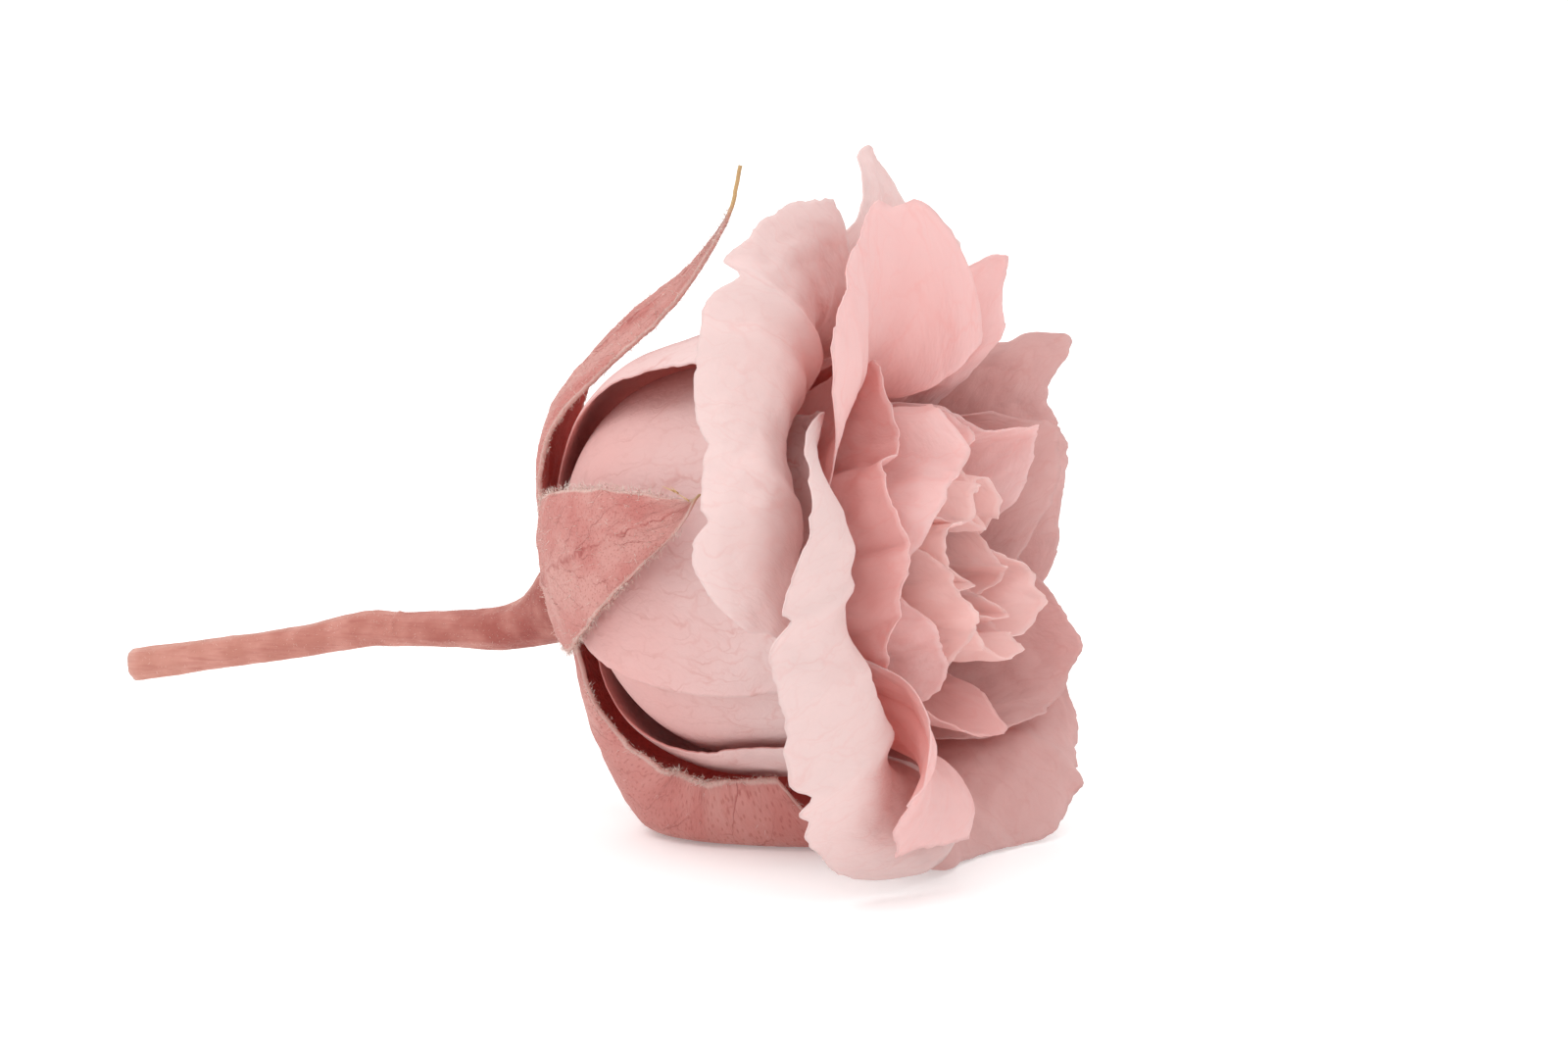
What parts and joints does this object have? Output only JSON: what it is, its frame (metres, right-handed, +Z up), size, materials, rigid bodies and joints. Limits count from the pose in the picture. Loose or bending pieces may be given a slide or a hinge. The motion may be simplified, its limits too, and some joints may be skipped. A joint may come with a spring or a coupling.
{
  "type": "cut spray rose head",
  "caption": "Open rose head cut with a short stem, lying on its side: rolled outer petals, cupped inner petals, a crumpled heart and reflexed sepals round the hip.",
  "frame": {"origin": "centre of the bounding box's footprint, on the surface that the rose lies on", "axes": "+X from the stem's cut end towards the bloom's face, +Y away from the camera of the picture, +Z up"},
  "size_m": [0.0686, 0.0474, 0.0471],
  "materials": {
    "stem": "matte",
    "sepal": "matte",
    "petal": "matte",
    "heart": "matte"
  },
  "bodies": {
    "root": {"stem_with_hip": "stem", "sepal_upper": "sepal", "sepal_front": "sepal", "sepal_under": "sepal", "sepal_far_upper": "sepal", "sepal_far_lower": "sepal", "outer_petal_top": "petal", "outer_petal_under": "petal", "outer_petal_front": "petal", "outer_petal_back": "petal", "outer_petal_low_front": "petal", "second_petal_high_back": "petal", "second_petal_low_back": "petal", "second_petal_top": "petal", "second_petal_low": "petal", "second_petal_front": "petal", "second_petal_far": "petal", "third_petal_high_front": "petal", "third_petal_low_back": "petal", "third_petal_low_front": "petal", "third_petal_back": "petal", "third_petal_top": "petal", "third_petal_far": "petal", "heart_petals": "heart"}
  },
  "joints": []
}
